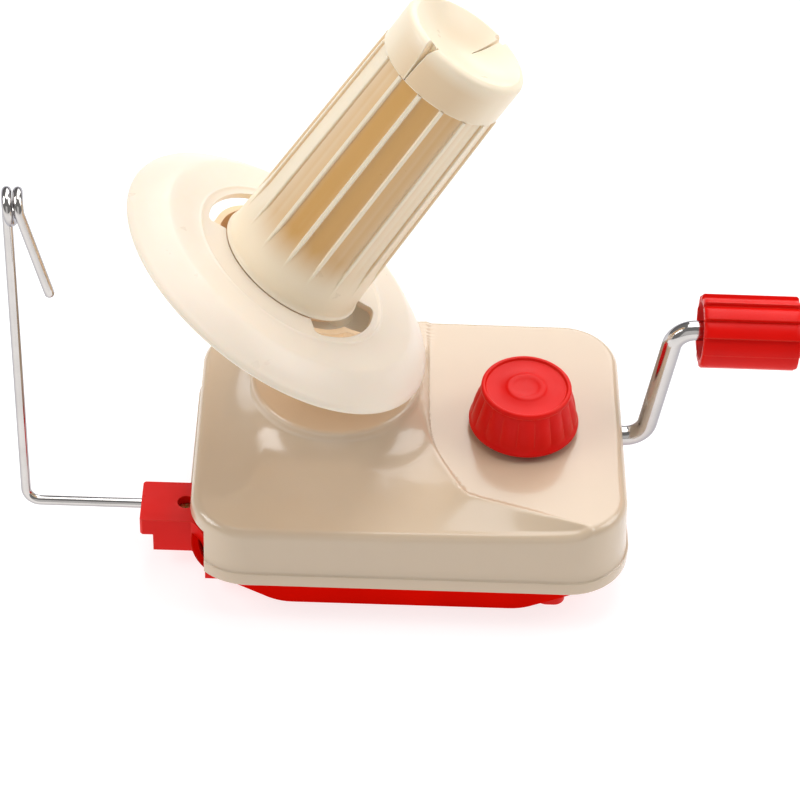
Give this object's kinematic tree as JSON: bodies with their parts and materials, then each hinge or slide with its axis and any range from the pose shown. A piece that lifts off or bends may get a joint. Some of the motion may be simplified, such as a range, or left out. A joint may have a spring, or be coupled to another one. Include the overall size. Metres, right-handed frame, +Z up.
{
  "type": "yarn ball winder",
  "caption": "Hand-cranked yarn ball winder: leaning ribbed cone over a slotted flange, moulded casing, side crank with grip, clamp knob and jaw, and wire yarn guide.",
  "frame": {"origin": "centre of the flat underside", "axes": "+X towards the crank handle, -Y towards the user, +Z up; the head turns about a vertical axis left of centre"},
  "size_m": [0.27, 0.1201, 0.207],
  "materials": {
    "ivory_casing": "glossy",
    "ivory_head": "satin",
    "red_plastic": "glossy",
    "chrome_wire": "polished",
    "steel": "brushed",
    "brass": "satin",
    "nylon": "satin",
    "rubber": "matte"
  },
  "bodies": {
    "casing": {"upper_casing": "ivory_casing", "lower_casing": "red_plastic", "casing_screws": "steel", "base_feet": "rubber", "turret_bush": "nylon", "centre_post": "steel", "sun_gear": "nylon", "sun_gear_screw": "steel", "crank_bush_outer": "brass", "crank_bush_inner": "brass", "knob_bush": "nylon", "guide_bracket": "red_plastic", "guide_screw": "brass"},
    "guide": {"guide_wire": "chrome_wire"},
    "crank": {"crank_rod": "chrome_wire", "crank_gear": "nylon", "crank_gear_pin": "steel", "crank_collar": "brass", "grip_clip": "steel"},
    "grip": {"handle_grip": "red_plastic", "grip_cap": "red_plastic"},
    "head": {"head_carrier": "ivory_head", "winding_disc": "ivory_head", "disc_screws": "steel", "cone_axle": "steel", "cone_washer": "nylon", "cone_clip": "steel"},
    "cone": {"winding_cone": "ivory_head", "cone_gear": "nylon", "cone_cap": "ivory_head"},
    "knob": {"clamp_knob": "red_plastic", "knob_sleeve": "brass", "knob_clip": "steel"},
    "jaw": {"clamp_stem": "steel", "clamp_jaw": "red_plastic", "jaw_pad": "rubber", "jaw_pin": "steel"}
  },
  "joints": [
    {"name": "crank_turn", "type": "hinge", "parent": "casing", "child": "crank", "pos_m": [0.075, 0.008, 0.032], "axis": [1, 0, 0], "continuous": true},
    {"name": "grip_spin", "type": "hinge", "parent": "crank", "child": "grip", "pos_m": [0.118, 0.008, 0.083], "axis": [1, 0, 0], "continuous": true},
    {"name": "head_turn", "type": "hinge", "parent": "casing", "child": "head", "pos_m": [-0.025, 0.008, 0.055], "axis": [0, 0, 1], "continuous": true},
    {"name": "cone_spin", "type": "hinge", "parent": "head", "child": "cone", "pos_m": [-0.025, 0.008, 0.134], "axis": [0.5333, 0.0864, 0.8415], "continuous": true},
    {"name": "knob_turn", "type": "hinge", "parent": "casing", "child": "knob", "pos_m": [0.041, -0.001, 0.046], "axis": [0, 0, 1], "range_deg": [0, 2340.1]},
    {"name": "jaw_slide", "type": "slide", "parent": "casing", "child": "jaw", "axis": [0, 0, 1], "range_m": [-0.026, 0]},
    {"name": "guide_swing", "type": "hinge", "parent": "casing", "child": "guide", "pos_m": [-0.088, -0.0195, 0.0177], "axis": [1, 0, 0], "range_deg": [-70, 80]}
  ],
  "couplings": [
    {"joint": "head_turn", "follows": "crank_turn", "ratio": -3},
    {"joint": "cone_spin", "follows": "crank_turn", "ratio": -3.1579},
    {"joint": "knob_turn", "follows": "jaw_slide", "rad_per_m": -1570.8}
  ]
}
